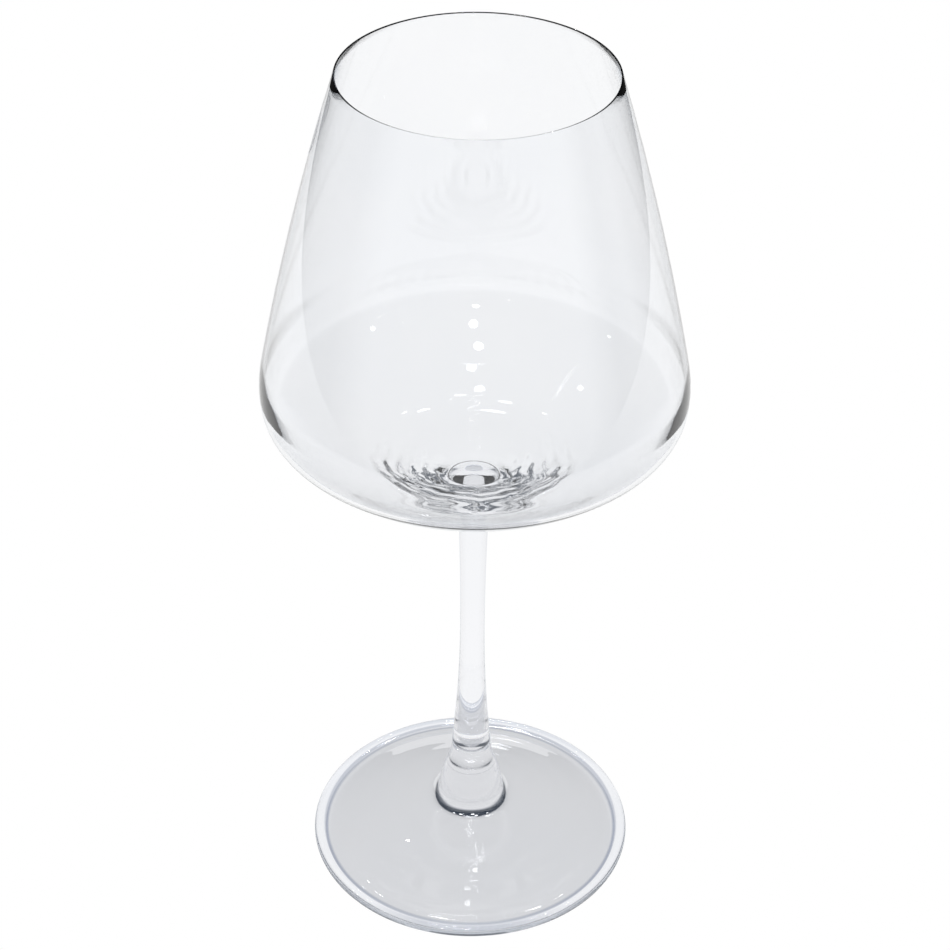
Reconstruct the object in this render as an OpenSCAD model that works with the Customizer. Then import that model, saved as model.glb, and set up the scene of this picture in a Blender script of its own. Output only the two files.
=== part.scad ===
// Stemmed red-wine glass: a thin blown bowl with a solid gather under it, a drawn stem and a
// pressed foot, three glass pieces fused hot at two seams, and a round clear film label.
// Millimetres, +Z up, origin at the centre of the ring that the foot stands on.

/* [Whole glass] */
// Height from the resting plane to the top of the lip
height = 225; // [205:1:245]

/* [Bowl] */
// Outer diameter just under the lip
lip_d = 63.8; // [60:0.1:68]
// Outer diameter at the widest level
bowl_d = 102.6; // [98:0.1:107]
// Lean of the wall from upright just under the lip, in degrees
lip_lean = 17.15; // [16.5:0.05:19]
// Lean of the wall from upright where the shoulder starts, in degrees
shoulder_lean = 11.1; // [9.5:0.1:12]
// Radius of the upper shoulder bend
upper_shoulder_r = 28.2; // [22:0.2:34]
// Radius of the tight lower shoulder bend
lower_shoulder_r = 9.5; // [7:0.1:12]
// Wall thickness at the lip
lip_wall = 0.85; // [0.7:0.05:1.2]
// Wall thickness at the widest level
side_wall = 1.1; // [0.9:0.05:1.5]
// Thickness in the middle of the bottom, down to the round that the outside would have there
bottom_wall = 3.8; // [2.5:0.1:4.2]
// Diameter at which the gather leaves the round bottom
gather_d = 52; // [46:1:56]
// Fall of the gather's cone from level, in degrees
gather_fall = 25.5; // [24.5:0.5:30]
// Diameter at which the cone turns into the flare of the stem
neck_d = 22; // [19:0.5:26]

/* [Stem] */
// Diameter at the waist
waist_d = 6.3; // [5.5:0.05:8]
// Height of the waist above the resting plane
waist_z = 71; // [66:1:76]
// Lean of the stem where the flare under the bowl starts, in degrees
flare_lean = 2; // [1:0.1:4]
// Diameter of the seam with the bowl
bowl_seam_d = 13.4; // [12:0.1:16]
// Radius of the long curve below the waist
lower_curve_r = 405; // [340:5:460]
// Lean of the straight stretch above the foot, in degrees
lower_lean = 4.5; // [4:0.1:5.5]
// Height of the seam with the foot
foot_seam_z = 30.4; // [29:0.1:31.5]

/* [Foot] */
// Outer diameter
foot_d = 84.5; // [80:0.1:90]
// Thickness of the rounded edge
edge_t = 2.8; // [2.2:0.1:3.2]
// Greatest lean of the boss, a little under the seam, in degrees
boss_lean = 20; // [17:0.5:22]
// Lean of the boss at its base, in degrees
boss_base_lean = 8; // [6:0.5:11]
// Radius of the curve between the boss and the plate
boss_curve_r = 5; // [4:0.2:7]
// Fall of the plate from level beside the boss, in degrees
plate_fall = 17; // [14:0.5:19]
// Greatest fall of the plate from level, where it nears the edge, in degrees
plate_steep = 26; // [24:0.5:29]
// Rise of the plate into the rounded edge, in degrees
edge_rise = 25; // [10:1:30]
// Width of the ring that the foot stands on
ring_w = 1.4; // [1:0.1:2.4]
// Depth of the hollow under the middle of the foot
hollow_depth = 4.4; // [2:0.1:6]

/* [Label] */
// Diameter of the round film label
label_d = 14; // [10:0.5:18]
// Thickness of the film
label_t = 0.1; // [0.08:0.01:0.15]
// Height of its centre above the resting plane
label_z = 210; // [200:1:212]
// Compass direction of its centre, in degrees from +X towards +Y
label_turn = 174; // [0:1:359]

/* [Hidden] */

round_fn = 192;
glass_clear = [0.86, 0.91, 0.94, 0.45];
glass_stem = [0.88, 0.92, 0.95, 0.6];
film_clear = [0.80, 0.82, 0.84, 0.5];

// A line is followed downwards. Each point is [radius, height, lean], and the lean is the line's
// heading from straight down, in degrees, + outwards. An arc bends the line towards the axis when
// its radius is positive and away from it when negative. The first point is left out.
function arc_run(start, lean_to, r, steps) =
    [for (i = [1:steps]) let (a = start[2] + (lean_to - start[2]) * i / steps)
        [start[0] + r * (cos(a) - cos(start[2])), start[1] + r * (sin(a) - sin(start[2])), a]];
function last(points) = points[len(points) - 1];
function flat(points) = [for (p = points) [p[0], p[1]]];
function reversed(points) = [for (i = [len(points) - 1:-1:0]) points[i]];
// Point moved along the line's outward normal
function proud(p, by) = [max(p[0] + by * cos(p[2]), 0), p[1] + by * sin(p[2])];
// Cap of a sphere from the axis out to a seam's edge, its middle higher by the sag
function cap_line(edge, sag, steps) =
    let (r = (edge[0] * edge[0] + sag * sag) / (2 * abs(sag)), side = sign(sag))
    [for (i = [0:steps]) let (x = edge[0] * i / steps)
        [x, edge[1] + side * (sqrt(r * r - x * x) - (r - abs(sag)))]];

module turned(points) {
    rotate_extrude($fn = round_fn) polygon(points);
}

// Bowl's outer line: a long wall arc, two shoulder arcs and a round bottom that closes on the axis
tight_lean = -4.8;
bottom_lean = -47.4;
lip_start = [lip_d / 2, height - lip_wall / 2 * (1 - sin(lip_lean)), lip_lean];
wall_r = (bowl_d / 2 - lip_d / 2 - upper_shoulder_r * (1 - cos(shoulder_lean)))
    / (cos(shoulder_lean) - cos(lip_lean));
wall_line = arc_run(lip_start, shoulder_lean, wall_r, 14);
upper_line = arc_run(last(wall_line), tight_lean, upper_shoulder_r, 7);
lower_line = arc_run(last(upper_line), bottom_lean, lower_shoulder_r, 10);
round_r = last(lower_line)[0] / cos(bottom_lean);
round_centre_z = last(lower_line)[1] - round_r * sin(bottom_lean);
gather_lean = -acos(gather_d / 2 / round_r);
round_line = arc_run(last(lower_line), gather_lean, round_r, 8);
round_rest = arc_run(last(round_line), -90, round_r, 16);
cup_line = concat([lip_start], wall_line, upper_line, lower_line, round_line);

// Wall thickness at a point of the outer line: thin at the lip, a little more at the side, and from
// the gather inwards an easy rise to the thick bottom
thick_from_r = gather_d / 2 + 2;
thick_full_r = 8;
function eased(x) = let (t = max(0, min(1, x))) t * t * (3 - 2 * t);
function wall_at(p) = p[2] > 0
    ? side_wall + (lip_wall - side_wall) * p[2] / lip_lean
    : side_wall + (bottom_wall - side_wall) * eased((thick_from_r - p[0]) / (thick_from_r - thick_full_r));
inner_line = [for (p = concat(cup_line, round_rest)) proud(p, -wall_at(p))];
lip_middle = proud(lip_start, -lip_wall / 2);
lip_round = [for (a = [15:15:165]) lip_middle + lip_wall / 2 * [cos(a + lip_lean), sin(a + lip_lean)]];

// The gather leaves the round with a small bend and falls as a cone to the neck
cone_lean = gather_fall - 90;
cone_bend_r = 8;
gather_bend = arc_run(last(round_line), cone_lean, -cone_bend_r, 3);
cone_length = (last(gather_bend)[0] - neck_d / 2) / cos(gather_fall);
neck = [neck_d / 2, last(gather_bend)[1] - cone_length * sin(gather_fall), cone_lean];

// Radii of two arcs in one sweep, the first from heading a to b and the second from b to c, found
// from the step between their ends. Both radii are signed as in arc_run.
function sweep_radii(step, a, b, c) =
    let (u = [cos(b) - cos(a), sin(b) - sin(a)], v = [cos(c) - cos(b), sin(c) - sin(b)])
    let (det = u[0] * v[1] - v[0] * u[1])
    [(step[0] * v[1] - v[0] * step[1]) / det, (u[0] * step[1] - step[0] * u[1]) / det];

// One sweep joins the neck to the waist: the flare, which the seam crosses, and a very long arc
neck_to_waist = [waist_d / 2 - neck[0], waist_z - neck[1]];
stem_radii = sweep_radii(neck_to_waist, cone_lean, -flare_lean, 0);
seam_lean = -acos(cos(cone_lean) + (bowl_seam_d / 2 - neck[0]) / stem_radii[0]);
gather_line = concat(gather_bend, [neck], arc_run(neck, seam_lean, stem_radii[0], 8));
bowl_seam = last(gather_line);
flare_line = arc_run(bowl_seam, -flare_lean, stem_radii[0], 8);
upper_stem_line = arc_run(last(flare_line), 0, stem_radii[1], 8);

// Below the waist the stem widens along an arc and then straight to the seam with the foot
lower_curve_line = arc_run(last(upper_stem_line), lower_lean, -lower_curve_r, 10);
curve_end = last(lower_curve_line);
foot_seam = [curve_end[0] + (curve_end[1] - foot_seam_z) * tan(lower_lean), foot_seam_z];

// Seam faces: the stem's ends bulge into the gather above and into the boss below
bowl_seam_sag = 1.6;
foot_seam_sag = 1.2;
bowl_seam_cap = cap_line(bowl_seam, bowl_seam_sag, 8);
foot_seam_cap = cap_line(foot_seam, -foot_seam_sag, 6);

module bowl() {
    color(glass_clear)
        turned(concat(reversed(flat(inner_line)), reversed(lip_round), flat(cup_line), flat(gather_line),
            reversed([for (i = [0:7]) bowl_seam_cap[i]])));
}

module stem() {
    color(glass_stem)
        turned(concat(bowl_seam_cap, flat(flare_line), flat(upper_stem_line), flat(lower_curve_line),
            reversed(foot_seam_cap)));
}

// Foot's upper line: the boss leans out and stands up again like a bell, a tight curve turns it into
// the plate, and the plate falls ever faster, levels out and rises a little into the rounded edge
foot_r = foot_d / 2;
edge_r = edge_t / 2;
boss_neck_r = 24;
boss_round_r = 39;
boss_line = arc_run(concat(foot_seam, lower_lean), boss_lean, -boss_neck_r, 6);
boss_bell = arc_run(last(boss_line), boss_base_lean, boss_round_r, 6);
boss_curve = arc_run(last(boss_bell), 90 - plate_fall, -boss_curve_r, 10);
edge_lean = 90 + edge_rise;
edge_start = [foot_r - edge_r + edge_r * cos(edge_lean), edge_r + edge_r * sin(edge_lean), edge_lean];
boss_to_edge = [edge_start[0] - last(boss_curve)[0], edge_start[1] - last(boss_curve)[1]];
plate_radii = sweep_radii(boss_to_edge, 90 - plate_fall, 90 - plate_steep, edge_lean);
plate_line = arc_run(last(boss_curve), 90 - plate_steep, plate_radii[0], 14);
edge_groove = arc_run(last(plate_line), edge_lean, plate_radii[1], 10);
edge_line = concat(arc_run(edge_start, 0, edge_r, 9), arc_run([foot_r, edge_r, 0], -90, edge_r, 7));
ring_inner_r = foot_r - edge_r - ring_w;
hollow = [for (i = [0:16]) [ring_inner_r * (1 - i / 16), hollow_depth * (1 - pow(1 - i / 16, 1.5))]];

module foot() {
    color(glass_clear)
        turned(concat(foot_seam_cap, flat(boss_line), flat(boss_bell), flat(boss_curve), flat(plate_line),
            flat(edge_groove), flat(edge_line), hollow));
}

// Label: a film of even thickness on the wall, cut to a circle square to the wall
label_band = [for (p = wall_line) if (abs(p[1] - label_z) < label_d) p];
label_anchor = label_band[floor(len(label_band) / 2)];
label_depth = 12;

module label() {
    color(film_clear) intersection() {
        turned(concat(flat(label_band), reversed([for (p = label_band) proud(p, label_t)])));
        rotate([0, 0, label_turn])
            translate([label_anchor[0] + (label_anchor[1] - label_z) * tan(label_anchor[2]), 0, label_z])
            rotate([0, 90 - label_anchor[2], 0])
            cylinder(d = label_d, h = label_depth, center = true, $fn = 96);
    }
}

bowl();
stem();
foot();
label();
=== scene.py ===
# %% [markdown]
# # A stemmed wine glass
# The real glass is three pieces fused hot: a blown bowl, a drawn stem and a pressed foot, with a
# round clear film label stuck below the lip. All of them but the label are bodies of revolution,
# so each is drawn as half a section and spun round the upright axis, as a glassblower turns it.
# What makes it look like glass is how the pieces bend light, so the section has to be right on
# the inside too: where the wall thins, where the solid gather starts and where the seams lie.

# %% Frame
import math

import bpy
from mathutils import Matrix, Vector


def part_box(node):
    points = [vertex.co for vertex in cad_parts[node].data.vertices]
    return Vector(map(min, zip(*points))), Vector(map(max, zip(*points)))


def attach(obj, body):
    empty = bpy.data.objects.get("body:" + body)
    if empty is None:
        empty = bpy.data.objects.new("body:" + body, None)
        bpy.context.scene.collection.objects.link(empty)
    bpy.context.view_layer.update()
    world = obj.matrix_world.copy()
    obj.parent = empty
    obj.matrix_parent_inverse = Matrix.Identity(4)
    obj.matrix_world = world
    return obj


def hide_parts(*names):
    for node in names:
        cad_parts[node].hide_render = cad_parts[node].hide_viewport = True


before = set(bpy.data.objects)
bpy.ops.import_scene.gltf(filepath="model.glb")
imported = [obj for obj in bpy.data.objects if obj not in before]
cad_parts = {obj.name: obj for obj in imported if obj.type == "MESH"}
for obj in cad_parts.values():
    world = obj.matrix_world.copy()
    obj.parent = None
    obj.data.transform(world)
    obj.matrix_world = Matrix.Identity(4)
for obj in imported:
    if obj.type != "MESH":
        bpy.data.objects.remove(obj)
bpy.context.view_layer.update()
print("nodes:", sorted(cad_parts))

# %% [markdown]
# The camera comes first, because it says how much of each piece can be seen. It stands about two
# thirds of a metre from the foot and looks down at about 35 degrees, with a telephoto lens, and it is
# turned in its own plane by a little over half a degree. Its three axes follow from those angles.

# %% Camera
camera_place = Vector((0.0, -0.4856, 0.4603))
look_down = math.radians(35.269)
look_aside = math.radians(0.031)
camera_roll = math.radians(0.616)

forward = Vector((
    math.sin(look_aside) * math.cos(look_down),
    math.cos(look_aside) * math.cos(look_down),
    -math.sin(look_down),
))
level = forward.cross(Vector((0, 0, 1))).normalized()
right = Matrix.Rotation(-camera_roll, 3, forward) @ level
above = right.cross(forward)
camera_turn = Matrix((right, above, -forward)).transposed().to_4x4()
camera_data = bpy.data.cameras.new("camera")
camera_data.lens = 92.04
camera_data.sensor_width = 36.0
camera_data.clip_start = 0.05
camera_data.clip_end = 100.0
camera = bpy.data.objects.new("camera", camera_data)
bpy.context.scene.collection.objects.link(camera)
camera.matrix_world = Matrix.Translation(camera_place) @ camera_turn
bpy.context.scene.camera = camera
print("camera looks down", round(math.degrees(look_down), 1), "degrees")

# %% [markdown]
# A section is followed downwards from the lip. Each point keeps its radius, its height and its
# lean: the line's heading from straight down, plus outwards. With the lean kept, arcs join
# smoothly, and a wall's other face is found by stepping along the outward normal. A seam between
# two pieces is the cap of a sphere, and both pieces use the same line for it.

# %% Section lines
def arc_run(start, lean_to, radius, steps):
    """Points along an arc, without its start. A minus radius bends away from the axis."""
    r, z, lean = start
    run = []
    for i in range(1, steps + 1):
        a = lean + (lean_to - lean) * i / steps
        out = radius * (math.cos(a) - math.cos(lean))
        up = radius * (math.sin(a) - math.sin(lean))
        run.append((r + out, z + up, a))
    return run


def straight(a, b, steps):
    """Points on a straight stretch, without its start."""
    return [tuple(u + (v - u) * i / steps for u, v in zip(a, b)) for i in range(1, steps + 1)]


def proud(point, by):
    """A point moved along the outward normal."""
    r, z, lean = point
    return (max(r + by * math.cos(lean), 0.0), z + by * math.sin(lean), lean)


def cap_line(edge, sag, steps):
    """The cap of a sphere, from the axis out to a seam's edge. A plus sag lifts its middle."""
    r = (edge[0] ** 2 + sag ** 2) / (2 * abs(sag))
    side = math.copysign(1.0, sag)
    run = []
    for i in range(steps + 1):
        x = edge[0] * i / steps
        run.append((x, edge[1] + side * (math.sqrt(r * r - x * x) - (r - abs(sag))), 0.0))
    return run


def point_at(line, axis, value):
    """The point where a line passes a radius (axis 0) or a height (axis 1), kept within its ends."""
    ends = sorted((line[0][axis], line[-1][axis]))
    value = min(max(value, ends[0]), ends[1])
    for a, b in zip(line, line[1:]):
        if min(a[axis], b[axis]) <= value <= max(a[axis], b[axis]) and a[axis] != b[axis]:
            t = (value - a[axis]) / (b[axis] - a[axis])
            return tuple(u + t * (v - u) for u, v in zip(a, b))
    return line[-1]


# %% [markdown]
# Twice on this glass two arcs have to be fitted into one sweep whose ends and headings are known:
# from the neck to the waist of the stem, and from the boss to the edge of the foot. Their two
# radii then follow from two equations, one for the way out and one for the way down.

# %% Fitting a sweep
def sweep_radii(start, end, first, middle, last):
    """Radii of two arcs that run from start to end, with these leans on the way."""
    out, up = end[0] - start[0], end[1] - start[1]
    u = (math.cos(middle) - math.cos(first), math.sin(middle) - math.sin(first))
    v = (math.cos(last) - math.cos(middle), math.sin(last) - math.sin(middle))
    det = u[0] * v[1] - v[0] * u[1]
    return (out * v[1] - v[0] * up) / det, (u[0] * up - out * u[1]) / det


# %% [markdown]
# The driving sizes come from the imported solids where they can: heights and radii of the pieces.
# What a box can't tell, such as how the wall leans, is given here.

# %% Sizes
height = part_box("bowl")[1].z
bowl_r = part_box("bowl")[1].x
foot_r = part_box("foot")[1].x
foot_seam_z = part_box("foot")[1].z
bowl_seam_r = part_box("stem")[1].x
lip_r = 0.0319
lip_lean = math.radians(17.15)
shoulder_lean = math.radians(11.1)
tight_lean = math.radians(-4.8)
bottom_lean = math.radians(-47.4)
upper_shoulder_r = 0.0282
lower_shoulder_r = 0.0095
solid_lip_wall = 0.00085
lip_wall = 0.00045
side_wall = 0.0011
bottom_wall = 0.0038
print("height", round(height, 4), "bowl", round(bowl_r, 4), "foot", round(foot_r, 4))

# %% [markdown]
# The bowl's outer line is a long, nearly straight arc from the lip, an easy bend over the widest
# level, a tight bend under it and a round bottom. The last part of the round is drawn with short
# steps, because the ripples of the gather start there.

# %% Bowl's outer line
gather_r = 0.026
ripple_from_r = 0.031
lip_start = (lip_r, height - solid_lip_wall / 2 * (1 - math.sin(lip_lean)), lip_lean)
wall_r = (bowl_r - lip_r - upper_shoulder_r * (1 - math.cos(shoulder_lean))) / (
    math.cos(shoulder_lean) - math.cos(lip_lean)
)
wall_line = arc_run(lip_start, shoulder_lean, wall_r, 30)
upper_line = arc_run(wall_line[-1], tight_lean, upper_shoulder_r, 8)
lower_line = arc_run(upper_line[-1], bottom_lean, lower_shoulder_r, 16)
round_r = lower_line[-1][0] / math.cos(bottom_lean)
coarse_line = arc_run(lower_line[-1], -math.acos(ripple_from_r / round_r), round_r, 12)
round_line = coarse_line + arc_run(coarse_line[-1], -math.acos(gather_r / round_r), round_r, 22)
cup_line = [lip_start, *wall_line, *upper_line, *lower_line, *round_line]
round_rest = arc_run(round_line[-1], -math.pi / 2, round_r, 24)
print("outer line leaves the round at", [round(v, 4) for v in round_line[-1][:2]])

# %% [markdown]
# Under the bottom sits the gather, the solid glass that the stem is drawn from. It leaves the round
# with a small bend, falls as a cone, and turns into the stem's flare at the neck. The flare and the
# long curve up the stem are one sweep, and the seam with the stem crosses the flare.

# %% Gather
cone_lean = math.radians(25.5 - 90)
cone_bend_r = 0.008
neck_r = 0.011
waist_r = 0.00315
waist_z = 0.071
flare_lean = math.radians(2.0)
bowl_seam_sag = 0.0016

bend = arc_run(round_line[-1], cone_lean, -cone_bend_r, 3)
cone_drop = (bend[-1][0] - neck_r) / -math.tan(cone_lean)
neck = (neck_r, bend[-1][1] - cone_drop, cone_lean)
flare_r, long_r = sweep_radii(neck, (waist_r, waist_z), cone_lean, -flare_lean, 0.0)
seam_lean = -math.acos(math.cos(cone_lean) + (bowl_seam_r - neck_r) / flare_r)
gather_line = bend + straight(bend[-1], neck, 50) + arc_run(neck, seam_lean, flare_r, 12)
bowl_seam = gather_line[-1]
bowl_cap = cap_line(bowl_seam, bowl_seam_sag, 10)
print("flare radius", round(-flare_r, 4), "seam edge", [round(v, 4) for v in bowl_seam[:2]])

# %% [markdown]
# Glass is thin where it was blown far and thick where it stayed near the pipe: finest at the lip,
# 1.1 mm at the widest level and most in the bottom, where the thickness rises in an easy curve. The
# lip is a half round, because a flame melts the cut edge and surface tension rounds it. It is drawn
# finer than its solid, which has to stay strong enough to be a real wall.

# %% Bowl's inner line
thick_from_r = gather_r + 0.002
thick_full_r = 0.008


def wall_at(point):
    """Wall thickness at a point of the outer line."""
    r, _, lean = point
    if lean > 0:
        return side_wall + (lip_wall - side_wall) * lean / lip_lean
    x = min(max((thick_from_r - r) / (thick_from_r - thick_full_r), 0.0), 1.0)
    return side_wall + (bottom_wall - side_wall) * x * x * (3 - 2 * x)


inner_line = [proud(p, -wall_at(p)) for p in cup_line + round_rest]
lip_middle = proud(lip_start, -lip_wall / 2)
lip_headings = [lip_lean + math.radians(a) for a in range(15, 180, 15)]
lip_round = [proud((lip_middle[0], lip_middle[1], a), lip_wall / 2) for a in lip_headings]
bowl_section = inner_line[::-1] + lip_round[::-1] + cup_line + gather_line + bowl_cap[-2::-1]
print("bowl section", len(bowl_section), "points, inner bottom at", round(inner_line[-1][1], 4))

# %% [markdown]
# The stem carries on from the seam without a step: the last of the flare, the very long curve to
# the waist, an arc that widens it again and a short straight stretch down to the foot.

# %% Stem's section
lower_curve_r = 0.405
lower_lean = math.radians(4.5)
foot_seam_sag = 0.0012

flare_line = arc_run(bowl_seam, -flare_lean, flare_r, 20)
upper_stem_line = arc_run(flare_line[-1], 0.0, long_r, 16)
lower_curve_line = arc_run(upper_stem_line[-1], lower_lean, -lower_curve_r, 20)
curve_end = lower_curve_line[-1]
foot_seam_r = curve_end[0] + (curve_end[1] - foot_seam_z) * math.tan(lower_lean)
foot_seam = (foot_seam_r, foot_seam_z, lower_lean)
foot_cap = cap_line(foot_seam, -foot_seam_sag, 10)
stem_section = bowl_cap + flare_line + upper_stem_line + lower_curve_line
stem_section += straight(curve_end, foot_seam, 6) + foot_cap[-2::-1]
print("stem section", len(stem_section), "points, foot seam radius", round(foot_seam_r, 5))

# %% [markdown]
# The foot's boss leans out and stands up again like a bell, and a tight curve turns it into the
# plate. The plate falls ever faster, levels out in a narrow groove and rises a little into the thick
# rounded edge. Underneath, only an outer ring is flat, so that the glass can't rock.

# %% Foot's section
edge_r = 0.0014
ring_w = 0.0014
boss_neck_r = 0.024
boss_round_r = 0.039
boss_curve_r = 0.005
boss_lean = math.radians(20)
boss_base_lean = math.radians(8)
plate_top_lean = math.radians(90 - 17)
plate_low_lean = math.radians(90 - 26)
edge_lean = math.radians(90 + 25)
ring_inner_r = foot_r - edge_r - ring_w
hollow_depth = 0.0044
hollow_power = 1.5
hollow_steps = 40

boss_line = arc_run(foot_seam, boss_lean, -boss_neck_r, 12)
boss_line += arc_run(boss_line[-1], boss_base_lean, boss_round_r, 14)
boss_line += arc_run(boss_line[-1], plate_top_lean, -boss_curve_r, 20)
edge_start = proud((foot_r - edge_r, edge_r, edge_lean), edge_r)
plate_r, groove_r = sweep_radii(boss_line[-1], edge_start, plate_top_lean, plate_low_lean, edge_lean)
plate_line = arc_run(boss_line[-1], plate_low_lean, plate_r, 36)
plate_line += arc_run(plate_line[-1], edge_lean, groove_r, 20)
edge_line = arc_run(edge_start, 0.0, edge_r, 14)
edge_line += arc_run((foot_r, edge_r, 0.0), -math.pi / 2, edge_r, 10)
ring_line = straight(edge_line[-1], (ring_inner_r, 0.0, 0.0), 2)
hollow_line = [
    (ring_inner_r * x, hollow_depth * (1 - x ** hollow_power), 0.0)
    for x in (1 - i / hollow_steps for i in range(1, hollow_steps + 1))
]
foot_section = foot_cap + boss_line + plate_line + edge_line + ring_line + hollow_line
print("foot section", len(foot_section), "points, groove radius", round(-groove_r, 5))

# %% [markdown]
# Turning: a plane is collapsed to one vertex on the axis, the vertex is extruded from point to
# point until the half section is drawn, and Spin sweeps it once round. Where the section starts and
# ends on the axis, and where the last step meets the first, the doubles are merged. Spin can leave
# a shape inside out, so the normals are recalculated after that.

# %% Turning a section
turn_steps = 320
merge_within = 2e-6


def deselect_all():
    """Nothing selected and nothing active, so that the next operator meets only its own piece."""
    bpy.ops.object.select_all(action="DESELECT")
    bpy.context.view_layer.objects.active = None


def turn(name, section):
    """A closed body of revolution from half a section."""
    deselect_all()
    bpy.ops.mesh.primitive_plane_add(size=0.001, location=(0, 0, 0))
    piece = bpy.context.object
    piece.name = name
    bpy.ops.object.mode_set(mode="EDIT")
    bpy.ops.mesh.select_all(action="SELECT")
    bpy.ops.mesh.merge(type="CENTER")
    spots = [Vector((p[0], 0.0, p[1])) for p in section]
    bpy.ops.transform.translate(value=spots[0])
    for here, there in zip(spots, spots[1:]):
        bpy.ops.mesh.extrude_region_move(TRANSFORM_OT_translate={"value": there - here})
    bpy.ops.mesh.select_all(action="SELECT")
    bpy.ops.mesh.spin(steps=turn_steps, angle=2 * math.pi, center=(0, 0, 0), axis=(0, 0, 1))
    bpy.ops.mesh.select_all(action="SELECT")
    bpy.ops.mesh.remove_doubles(threshold=merge_within)
    bpy.ops.mesh.normals_make_consistent(inside=False)
    bpy.ops.object.mode_set(mode="OBJECT")
    bpy.ops.object.shade_smooth()
    print(name, len(piece.data.vertices), "vertices", len(piece.data.polygons), "faces")
    return piece


bowl = turn("glass_bowl", bowl_section)
stem = turn("glass_stem", stem_section)
foot = turn("glass_foot", foot_section)

# %% [markdown]
# The underside of the bowl is never quite smooth: where the gather was joined and drawn, the
# cooling skin set in faint ripples round the neck. They are a tenth of a millimetre high at most, but
# the glass there stands on the edge of total reflection, so each one flips from clear to dark. They
# are a real relief, made by moving the vertices of the outer face along its normal.

# %% Ripples on the gather
ripple_height = 0.00007
ripple_length = 0.0032
ripple_fades_at = ripple_from_r - 0.003
fade_in_w = 0.003
fade_out_w = 0.005
skin_within = 0.00003
outer_skin = sorted(p for p in cup_line + gather_line if p[2] < 0 and p[0] <= ripple_from_r)


def ripple(r, turn_angle):
    """How far the skin stands out: rings that wander, come and go, and fade at both ends."""
    mm = 1000 * r
    a = turn_angle
    wander = 1.1 * math.sin(3 * a + 0.7) + 0.7 * math.sin(7 * a + 2.1)
    wander += 0.5 * math.sin(13 * a + 0.3 + 0.25 * mm) + 0.4 * math.sin(23 * a + 1.3)
    strength = 1 + 0.35 * math.sin(5 * a + 0.5 * mm) + 0.25 * math.sin(17 * a - 0.4 * mm)
    fade_in = min(max((r - bowl_seam_r) / fade_in_w, 0.0), 1.0)
    fade_out = min(max((ripple_fades_at - r) / fade_out_w, 0.0), 1.0)
    rings = math.sin(2 * math.pi * (r - bowl_seam_r) / ripple_length + wander)
    return ripple_height * strength * rings * fade_in * fade_out


moved = 0
for vertex in bowl.data.vertices:
    r = math.hypot(vertex.co.x, vertex.co.y)
    if bowl_seam_r < r < ripple_from_r:
        _, z, lean = point_at(outer_skin, 0, r)
        if abs(vertex.co.z - z) < skin_within:
            angle = math.atan2(vertex.co.y, vertex.co.x)
            aside, along = math.cos(lean) * math.cos(angle), math.cos(lean) * math.sin(angle)
            outward = Vector((aside, along, math.sin(lean)))
            vertex.co += outward * ripple(r, angle)
            moved += 1
bowl.data.update()
print("rippled", moved, "vertices")

# %% [markdown]
# The label is a round piece of clear film that lies on the wall below the lip. It starts as a filled
# circle, is inset a few times so that it can bend, and is laid on the wall: each vertex keeps its
# height and its way round, and takes the wall's radius there. Solidify then gives it its thickness.

# %% Label
label_r = 0.0069
label_gap = 0.00002
film_t = 0.00008
inset_widths = (0.00025, 0.0008, 0.0012, 0.0012, 0.0012, 0.0012)
label_low, label_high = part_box("label")
label_z = (label_low.z + label_high.z) / 2
label_turn = math.radians(174)
outer_wall = [lip_start, *wall_line]

deselect_all()
bpy.ops.mesh.primitive_circle_add(vertices=96, radius=label_r, fill_type="NGON", location=(0, 0, 0))
label = bpy.context.object
label.name = "film_label"
bpy.ops.object.mode_set(mode="EDIT")
bpy.ops.mesh.select_all(action="SELECT")
for inset_by in inset_widths:
    bpy.ops.mesh.inset(thickness=inset_by, depth=0)
bpy.ops.mesh.poke()
bpy.ops.object.mode_set(mode="OBJECT")
anchor_r, _, anchor_lean = point_at(outer_wall, 1, label_z)
for vertex in label.data.vertices:
    aside, along = vertex.co.x, vertex.co.y
    z = label_z + along * math.cos(anchor_lean)
    reach = point_at(outer_wall, 1, z)[0] + label_gap
    angle = label_turn + aside / reach
    vertex.co = (reach * math.cos(angle), reach * math.sin(angle), z)
film = label.modifiers.new("film", "SOLIDIFY")
film.thickness = film_t
film.offset = -1.0
bpy.ops.object.modifier_apply(modifier=film.name)
bpy.ops.object.mode_set(mode="EDIT")
bpy.ops.mesh.select_all(action="SELECT")
bpy.ops.mesh.normals_make_consistent(inside=False)
bpy.ops.object.mode_set(mode="OBJECT")
bpy.ops.object.shade_smooth()
print("label at", [round(1000 * v, 1) for v in label.data.vertices[0].co])

# %% [markdown]
# Two helpers for materials. Value wraps a socket, so that arithmetic and comparisons on it add Math
# nodes. Finish is one material or the world, and its method makes any other node.

# %% Shader helpers
class Value:
    """A number that changes over a surface."""

    def __init__(self, tree, socket):
        self.tree = tree
        self.socket = socket

    def maths(self, operation, first, second):
        """A Math node on two numbers, each a Value or plain."""
        node = self.tree.nodes.new("ShaderNodeMath")
        node.operation = operation
        for slot, given in zip(node.inputs, (first, second)):
            if isinstance(given, Value):
                self.tree.links.new(given.socket, slot)
            else:
                slot.default_value = given
        return Value(self.tree, node.outputs[0])

    def __add__(self, other):
        return self.maths("ADD", self, other)

    def __mul__(self, other):
        return self.maths("MULTIPLY", self, other)

    def __gt__(self, other):
        return self.maths("GREATER_THAN", self, other)

    __radd__ = __add__
    __rmul__ = __mul__


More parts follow.
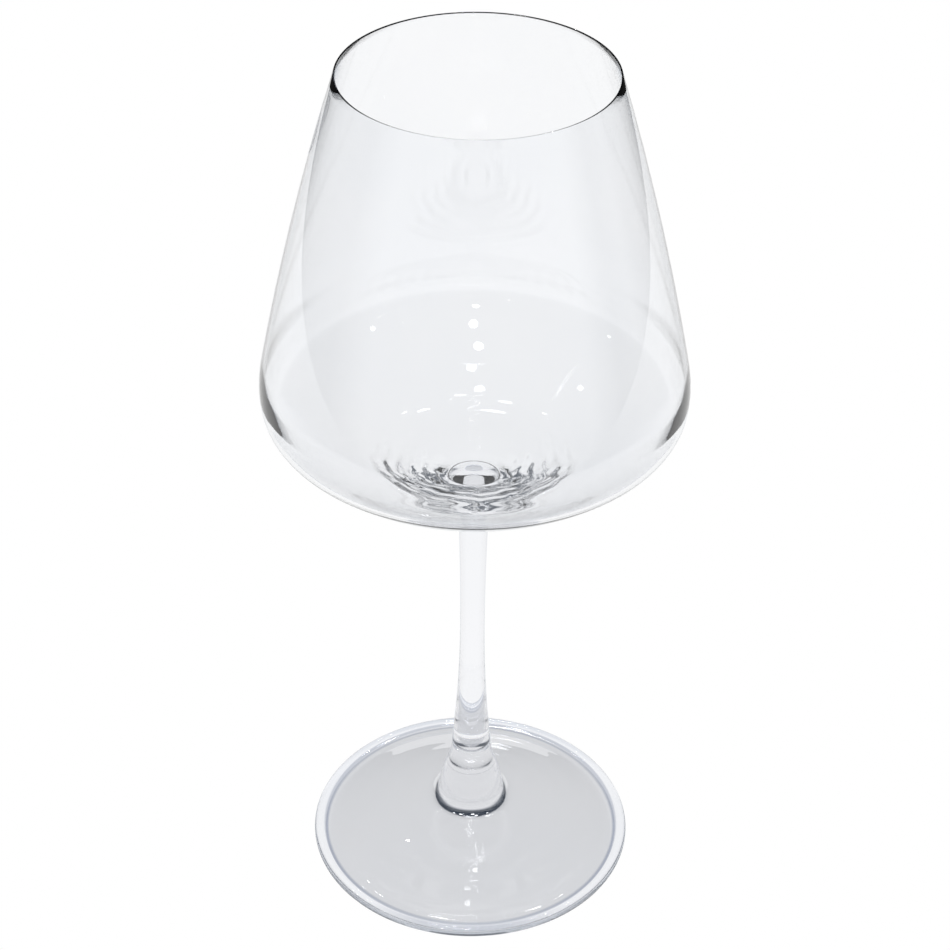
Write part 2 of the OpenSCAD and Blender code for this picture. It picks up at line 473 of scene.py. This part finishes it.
class Finish:
    """A node tree, of a material or of the world."""

    def __init__(self, owner):
        owner.use_nodes = True
        self.owner = owner
        self.tree = owner.node_tree
        self.tree.nodes.clear()

    def node(self, kind, settings=None, stops=(), **inputs):
        """A node of a type: settings and ramp stops first, then its sockets filled or linked."""
        node = self.tree.nodes.new("ShaderNode" + kind)
        for key, value in (settings or {}).items():
            setattr(node, key, value)
        for _ in stops[2:]:
            node.color_ramp.elements.new(0.5)
        for i, (place, colour) in enumerate(stops):
            node.color_ramp.elements[i].position = place
            node.color_ramp.elements[i].color = (*colour, 1.0)
        for key, value in inputs.items():
            slot = node.inputs[key.replace("_", " ")]
            if isinstance(value, Value):
                self.tree.links.new(value.socket, slot)
            elif isinstance(value, bpy.types.NodeSocket):
                self.tree.links.new(value, slot)
            else:
                slot.default_value = value
        return node

    def tinted(self, colour, by):
        """One colour multiplied by another."""
        node = self.node("Mix", {"data_type": "RGBA", "blend_type": "MULTIPLY"})
        node.inputs[0].default_value = 1.0
        self.tree.links.new(colour, node.inputs[6])
        self.tree.links.new(by, node.inputs[7])
        return node.outputs[2]

    def number(self, socket):
        """A socket as a Value."""
        return Value(self.tree, socket)

    def show(self, shader, kind="OutputMaterial"):
        """The finished material or world, with this shader at its output."""
        self.node(kind, Surface=shader.outputs[0])
        return self.owner


# %% [markdown]
# Clear glass bends light by its index of 1.5 and takes a little out of it. A tint that deepens with
# Layer Weight towards the outlines is painted shade: it draws the fine blue-grey lines that reflection
# and refraction draw along the real glass's outlines.
# The tint also drifts over the piece, as in a real melt, and hands leave a few faint smudges. On the
# foot it follows the distance from the axis too, as painted light and shade: grey in the plate for the
# shadow that falls on the floor under it, darker in the groove and at the outer line for the dark lines
# that refraction draws there, and lifted to clear by a painted light in the rounded edge.

# %% Glass finish
# Painted shade along the outlines: how far the tint darkens, and its darkest colour.
outline_shade_factor = 0.86
outline_shade_colour = (0.36, 0.42, 0.50)


def clear_glass(name, tint, outline_shade_from, wave_length, wave_depth, rings=None):
    """Glass whose tint is darkened towards its outlines as painted shade, with shallow rings from
    turning, smudges and, if given, rings of painted light and shade round the axis.
    """
    finish = Finish(bpy.data.materials.new(name))
    place = finish.node("TexCoord").outputs["Object"]
    # Painted shade: the tint darkens towards the outline colour as the surface turns edge-on.
    facing = finish.node("LayerWeight", Blend=0.5).outputs["Facing"]
    outline_shaded_tint = tuple(outline_shade_factor * c for c in tint)
    stops = ((0.0, tint), (outline_shade_from, tint), (0.5 + outline_shade_from / 2, outline_shaded_tint), (0.97, outline_shade_colour))
    colour = finish.node("ValToRGB", Fac=facing, stops=stops).outputs[0]
    melt = finish.node("TexNoise", Vector=place, Scale=22.0, Detail=2.0).outputs[0]
    drift = finish.node("ValToRGB", Fac=melt, stops=((0.3, (1, 1, 1)), (0.7, (0.975, 0.98, 0.985))))
    colour = finish.tinted(colour, drift.outputs[0])
    # Painted light and shade in rings round the axis, by the distance from it.
    if rings:
        flat = finish.node("VectorMath", {"operation": "MULTIPLY"}, Vector=place)
        flat.inputs[1].default_value = (1, 1, 0)
        reach = finish.node("VectorMath", {"operation": "LENGTH"}, Vector=flat.outputs[0])
        band = finish.number(reach.outputs["Value"]) * (1 / foot_r)
        ring_light_and_shade = finish.node("ValToRGB", Fac=band, stops=rings)
        colour = finish.tinted(colour, ring_light_and_shade.outputs[0])
    turned = finish.node(
        "TexWave",
        {"wave_type": "RINGS", "rings_direction": "Z"},
        Vector=place,
        Scale=math.pi / (10 * wave_length),
        Distortion=1.5,
        Detail=1.0,
    )
    bump = finish.node("Bump", Strength=1.0, Distance=wave_depth, Height=turned.outputs["Fac"])
    touch = finish.node("TexNoise", Vector=place, Scale=90.0, Detail=3.0).outputs[0]
    smudge = finish.node("ValToRGB", Fac=touch, stops=((0.66, (0, 0, 0)), (0.80, (0.06, 0.06, 0.06))))
    body = finish.node(
        "BsdfPrincipled",
        Base_Color=colour,
        Roughness=smudge.outputs[0],
        IOR=1.5,
        Transmission_Weight=1.0,
        Normal=bump.outputs[0],
    )
    return finish.show(body)


# The foot's rings of painted light and shade: a painted shadow in the plate, painted shade in the
# groove and on the outer line, a painted light in the rounded edge.
plate_shadow_tint = (0.85, 0.85, 0.85)
groove_shade_tint = (0.50, 0.53, 0.60)
edge_light_tint = (1.12, 1.12, 1.12)
foot_light_and_shade_rings = (
    (0.909, plate_shadow_tint),
    (0.921, groove_shade_tint),
    (0.933, groove_shade_tint),
    (0.942, edge_light_tint),
    (0.985, edge_light_tint),
    (0.998, (0.6, 0.65, 0.72)),
)
bowl_glass = clear_glass("blown_glass", (0.955, 0.960, 0.970), 0.60, 0.012, 0.0000004)
stem_glass = clear_glass("drawn_glass", (0.930, 0.935, 0.955), 0.30, 0.010, 0.000002)
# The foot's tint is darker than the bowl's: partly the glass's own tint, partly painted shade that,
# with the plate's ring, stands in for the shadow on the floor under the foot.
foot_glass = clear_glass("pressed_glass", (0.865, 0.875, 0.905), 0.60, 0.0065, 0.00004, foot_light_and_shade_rings)
print("glass finishes", bowl_glass.name, stem_glass.name, foot_glass.name)

# %% [markdown]
# The three glass pieces touch along two shallow domes. On the real glass nothing shows there,
# because the melt runs through, so the faces on the domes let light pass straight on. A ray that
# goes down the bowl then enters the stem without a second surface, and bends as in one body.

# %% Fused seams
seam_finish = Finish(bpy.data.materials.new("fused_seam"))
fused_seam = seam_finish.show(seam_finish.node("BsdfTransparent", Color=(1, 1, 1, 1)))


def dress(piece, glass, caps):
    """Glass all over, and the seam finish on the level faces that lie on a seam's cap."""
    piece.data.materials.append(glass)
    piece.data.materials.append(fused_seam)
    hidden = 0
    for face in piece.data.polygons:
        middle = face.center
        reach = math.hypot(middle.x, middle.y)
        for cap in caps:
            low = min(p[1] for p in cap) - 1e-6
            high = max(p[1] for p in cap) + 1e-6
            if low < middle.z < high and reach < cap[-1][0] and abs(face.normal.z) > 0.7:
                face.material_index = 1
                hidden += 1
    print(piece.name, "has", hidden, "faces on its seams")


dress(bowl, bowl_glass, [bowl_cap])
dress(stem, stem_glass, [bowl_cap, foot_cap])
dress(foot, foot_glass, [foot_cap])

# %% [markdown]
# The label's film is blank: a faint cloudy veil with a denser cut edge, and a gloss of its own. Alpha
# carries the veil, and the distance from the label's middle carries the edge.

# %% Film finish
cut_edge_w = 0.0006
film_finish = Finish(bpy.data.materials.new("clear_film"))
label_middle = (anchor_r * math.cos(label_turn), anchor_r * math.sin(label_turn), label_z)
place = film_finish.node("TexCoord").outputs["Object"]
away = film_finish.node("VectorMath", {"operation": "DISTANCE"}, Vector=place)
away.inputs[1].default_value = label_middle
away = film_finish.number(away.outputs["Value"])
edge = away > label_r - cut_edge_w
cloud = film_finish.node("TexNoise", Vector=place, Scale=300.0, Detail=3.0)
veil = film_finish.number(cloud.outputs[0]) * 0.20 + edge * 0.35 + 0.10
film_body = film_finish.node(
    "BsdfPrincipled",
    Base_Color=(0.50, 0.53, 0.59, 1.0),
    Roughness=film_finish.number(cloud.outputs[0]) * 0.2 + 0.1,
    Alpha=veil,
)
label.data.materials.append(film_finish.show(film_body))
print("label finish", label.data.materials[0].name)

# %% [markdown]
# The glass stands on a floor that glows evenly, so that nothing casts a shadow on it. It is 40 m wide,
# so it reaches the horizon in every view.

# %% Floor
deselect_all()
bpy.ops.mesh.primitive_plane_add(size=40.0, location=(0, 0, -0.00005))
floor = bpy.context.object
floor.name = "floor"
floor_finish = Finish(bpy.data.materials.new("pale_floor"))
floor_shader = floor_finish.node("Emission", Color=(1, 1, 1, 1), Strength=1.0)
floor.data.materials.append(floor_finish.show(floor_shader))
print("floor", floor.name)

# %% [markdown]
# Round the glass is a light tent. Its cloth is pale for the first few degrees above the horizon, and
# from about 25 degrees up it is a dim blue-grey, which is what draws the glass's dark lines.

# %% World
world_finish = Finish(bpy.data.worlds.new("studio"))
bpy.context.scene.world = world_finish.owner
sky_way = world_finish.node("TexCoord").outputs["Generated"]
rise = world_finish.node("SeparateXYZ", Vector=sky_way).outputs["Z"]
tent = world_finish.node(
    "ValToRGB",
    Fac=rise,
    stops=(
        (0.0, (0.95, 0.95, 0.95)),
        (0.14, (0.80, 0.80, 0.82)),
        (0.24, (0.25, 0.27, 0.30)),
        (0.42, (0.05, 0.065, 0.09)),
    ),
)
world_finish.show(world_finish.node("Background", Color=tent.outputs[0]), "OutputWorld")
print("world", world_finish.owner.name)

# %% [markdown]
# A round screen stands about the glass, a bright panel on the camera's side and dark cloth elsewhere.
# It shows only as a reflection, so it leaves the background pale. The panel lifts the middle of the
# bowl's wall, and the dark cloth leaves its sides greyer, which makes the wall look round.

# %% Screen
screen_r = 0.6
screen_h = 0.5
deselect_all()
bpy.ops.mesh.primitive_cylinder_add(
    vertices=96, radius=screen_r, depth=screen_h, end_fill_type="NOTHING", location=(0, 0, screen_h / 2)
)
screen = bpy.context.object
screen.name = "screen"
screen_finish = Finish(bpy.data.materials.new("screen_cloth"))
place = screen_finish.node("TexCoord").outputs["Object"]
round_way = screen_finish.node("TexGradient", {"gradient_type": "RADIAL"}, Vector=place).outputs["Fac"]


def grey(level):
    """A grey of a brightness."""
    return (level, level, level)


def round_from_front(degrees):
    """Where a heading falls on the radial gradient: from -Y, with plus towards +X."""
    return 0.25 + degrees / 360


panel = screen_finish.node(
    "ValToRGB",
    Fac=round_way,
    stops=(
        (round_from_front(-80), grey(0.03)),
        (round_from_front(-55), grey(0.95)),
        (round_from_front(60), grey(0.95)),
        (round_from_front(80), grey(0.05)),
        (round_from_front(95), grey(0.25)),
        (round_from_front(106), grey(0.02)),
    ),
)
screen_glow = screen_finish.node("Emission", Color=panel.outputs[0], Strength=1.5)
screen.data.materials.append(screen_finish.show(screen_glow))
for ray_kind in ("camera", "transmission", "diffuse", "shadow"):
    setattr(screen, "visible_" + ray_kind, False)
print("screen", screen.name)

# %% [markdown]
# A row of small bright lamps in the tent's roof, none quite in line, makes the chain of glints down
# the foot and in the bowl. A few more at the sides, given by their way round and their rise in
# degrees, make the single ones. Each is a disc of a known brightness, so its power follows from its
# area.

# %% Lamps
def lamp(place, size, look_at):
    """A small disc lamp that shows in the glass but not to the camera itself."""
    data = bpy.data.lights.new("lamp", "AREA")
    data.shape = "DISK"
    data.size = size
    data.energy = lamp_brightness * math.pi * math.pi * (size / 2) ** 2
    light = bpy.data.objects.new("lamp", data)
    bpy.context.scene.collection.objects.link(light)
    light.location = place
    light.rotation_mode = "QUATERNION"
    light.rotation_quaternion = (Vector(look_at) - Vector(place)).to_track_quat("-Z", "Y")
    light.visible_camera = False


lamp_brightness = 60.0
roof_z = 0.9
row_start_y = -0.35
row_step = 0.13
row_lamp_size = 0.045
side_lamp_size = 0.028
bowl_bottom = Vector((0, 0, 0.12))
row_aside = (0.0, 0.01, -0.015, 0.015, -0.02, 0.05, -0.09, 0.13, -0.03)
side_lamps = ((158, 53), (-158, 53), (-125, 52), (85, 54), (73, 52), (-98, 44), (-21, 41))
for i, row_x in enumerate(row_aside):
    row_y = row_start_y + row_step * i
    lamp((row_x, row_y, roof_z), row_lamp_size, (0.0, 0.3 * row_y, 0.1))
for way_round, rise_angle in side_lamps:
    heading = Vector((0, -1, 0))
    heading.rotate(Matrix.Rotation(math.radians(-rise_angle), 3, "X"))
    heading.rotate(Matrix.Rotation(math.radians(way_round), 3, "Z"))
    lamp(bowl_bottom + heading, side_lamp_size, bowl_bottom)

# %% [markdown]
# Light has to pass many faces of glass before it ends, so the limits on its bounces are high. The
# limit on glossy bounces is lower, so that light caught in the thick glass under the bowl ends dark.

# %% Render settings
scene = bpy.context.scene
scene.view_settings.view_transform = "Standard"
scene.cycles.max_bounces = 24
scene.cycles.transmission_bounces = 24
scene.cycles.glossy_bounces = 10
scene.cycles.transparent_max_bounces = 24

# %% [markdown]
# Each piece rides on the one body and stands for its solid, which is hidden.

# %% Riding and hiding the solids
for piece, node, slot in (
    (bowl, "bowl", "bowl_glass"),
    (stem, "stem", "stem_glass"),
    (foot, "foot", "foot_glass"),
    (label, "label", "label_film"),
):
    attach(piece, "root")
    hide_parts(node)
